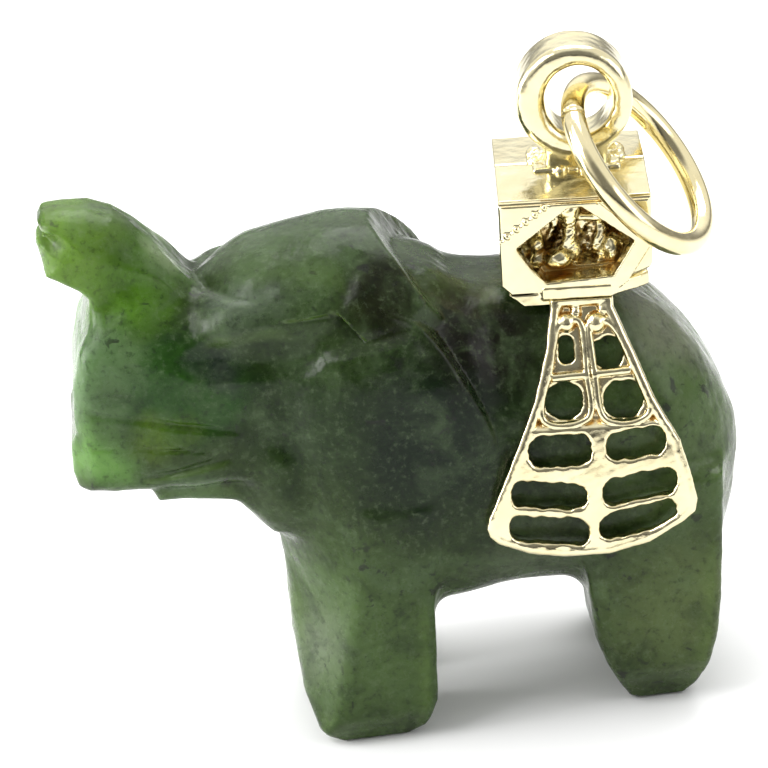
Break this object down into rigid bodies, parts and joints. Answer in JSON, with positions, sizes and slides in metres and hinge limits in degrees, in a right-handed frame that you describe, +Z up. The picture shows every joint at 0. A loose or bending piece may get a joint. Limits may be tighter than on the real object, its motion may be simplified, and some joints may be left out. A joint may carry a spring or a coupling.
{
  "type": "jade elephant charm",
  "caption": "Carved green jade elephant, trunk raised, in a gold mount: a hollow howdah box with openwork side drapes, a thick loop and a loose jump ring.",
  "frame": {"origin": "centre of the base of the whole object's box, between the four feet", "axes": "+Z up, the elephant faces -X, its left side is towards -Y"},
  "size_m": [0.021, 0.0096, 0.0213],
  "materials": {
    "jade": "polished, slightly translucent",
    "gold": "cast and polished",
    "gold_solder": "rough, as flowed",
    "gold_wire": "drawn and polished"
  },
  "bodies": {
    "figurine": {"jade_elephant": "jade", "howdah_box": "gold", "saddle_strap": "gold", "drape_left": "gold", "drape_right": "gold", "charm_loop": "gold", "loop_solder": "gold_solder", "mounting_peg": "gold"},
    "jump_ring": {"jump_ring": "gold_wire"}
  },
  "joints": [
    {"name": "ring_swing", "type": "hinge", "parent": "figurine", "child": "jump_ring", "pos_m": [0.00624, -0.00001, 0.01954], "axis": [0.0697, 0.9976, -0.003], "range_deg": [-240, 0]}
  ]
}
